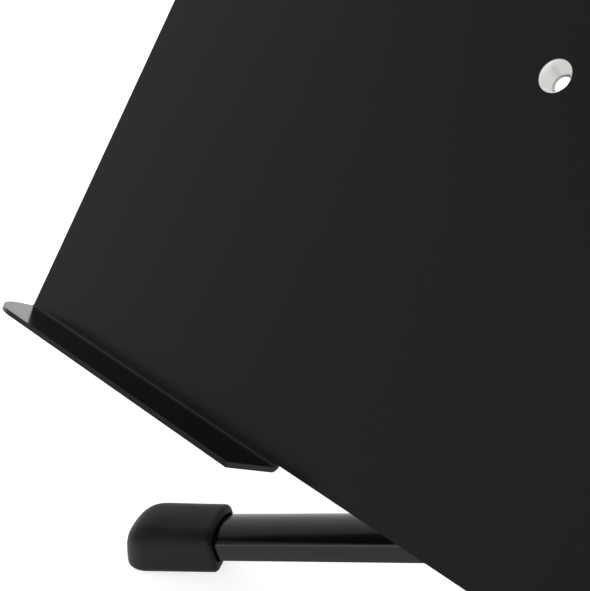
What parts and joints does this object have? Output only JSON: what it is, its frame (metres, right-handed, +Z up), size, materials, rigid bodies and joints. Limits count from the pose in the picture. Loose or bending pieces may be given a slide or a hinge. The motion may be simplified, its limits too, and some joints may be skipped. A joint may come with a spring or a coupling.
{
  "type": "tabletop music stand",
  "caption": "Black steel tabletop music stand: sloping sheet desk with two folded ledge tabs on a tilting head, telescopic column and folding tripod base with rubber feet.",
  "frame": {"origin": "on the table, at the middle of the stand's box: midway between the front of the ledge and the toe of the rear foot", "axes": "+X to the reader's right along the desk's width, +Y towards the back, +Z up"},
  "size_m": [0.35, 0.2768, 0.2934],
  "materials": {
    "powder_coated_steel": "satin black powder coat",
    "enamelled_steel": "gloss black enamel",
    "rubber": "matt moulded black",
    "nickel": "bright nickel plate",
    "zinc_steel": "zinc plate",
    "black_plastic": "fine moulded texture",
    "nylon": "natural nylon",
    "fibre": "vulcanised fibre",
    "brass": "turned"
  },
  "bodies": {
    "base": {"outer_tube": "powder_coated_steel", "guide_bush": "nylon", "clamp_collar": "black_plastic", "clamp_nut": "brass", "clamp_pad": "nylon", "hub_top_plate": "powder_coated_steel", "hub_bottom_plate": "powder_coated_steel", "hub_core": "zinc_steel", "base_bolt": "zinc_steel", "base_washer": "zinc_steel", "pivot_rivets": "nickel", "stop_pins": "zinc_steel", "leg_rear": "enamelled_steel", "knuckle_rear": "zinc_steel", "leg_rivet_rear": "nickel", "foot_rear": "rubber"},
    "left_leg": {"leg_left": "enamelled_steel", "knuckle_left": "zinc_steel", "leg_rivet_left": "nickel", "foot_left": "rubber"},
    "right_leg": {"leg_right": "enamelled_steel", "knuckle_right": "zinc_steel", "leg_rivet_right": "nickel", "foot_right": "rubber"},
    "column": {"inner_tube": "nickel", "slide_shoe": "nylon", "tilt_head": "black_plastic", "head_pin": "zinc_steel"},
    "desk": {"desk_plate": "powder_coated_steel", "desk_rivets": "nickel", "bracket_left": "powder_coated_steel", "bracket_right": "powder_coated_steel", "tilt_bolt": "zinc_steel", "friction_washers": "fibre", "flat_washer": "zinc_steel"},
    "tilt_clamp_knob": {"tilt_knob": "black_plastic", "tilt_knob_insert": "brass"},
    "height_clamp_knob": {"height_knob": "black_plastic", "height_screw": "zinc_steel"}
  },
  "joints": [
    {"name": "height_slide", "type": "slide", "parent": "base", "child": "column", "axis": [0, 0, 1], "range_m": [0, 0.047]},
    {"name": "desk_tilt", "type": "hinge", "parent": "column", "child": "desk", "pos_m": [0, -0.02841, 0.185], "axis": [1, 0, 0], "range_deg": [-39, 30]},
    {"name": "tilt_knob_turn", "type": "hinge", "parent": "desk", "child": "tilt_clamp_knob", "pos_m": [0, -0.02841, 0.185], "axis": [1, 0, 0], "range_deg": [0, 360]},
    {"name": "height_knob_turn", "type": "hinge", "parent": "base", "child": "height_clamp_knob", "pos_m": [0, -0.00611, 0.12723], "axis": [0, 1, 0], "range_deg": [0, 360]},
    {"name": "left_leg_swing", "type": "hinge", "parent": "base", "child": "left_leg", "pos_m": [-0.02252, -0.04141, 0.03758], "axis": [0, 0, -1], "range_deg": [0, 105]},
    {"name": "right_leg_swing", "type": "hinge", "parent": "base", "child": "right_leg", "pos_m": [0.02252, -0.04141, 0.03758], "axis": [0, 0, 1], "range_deg": [0, 105]}
  ]
}
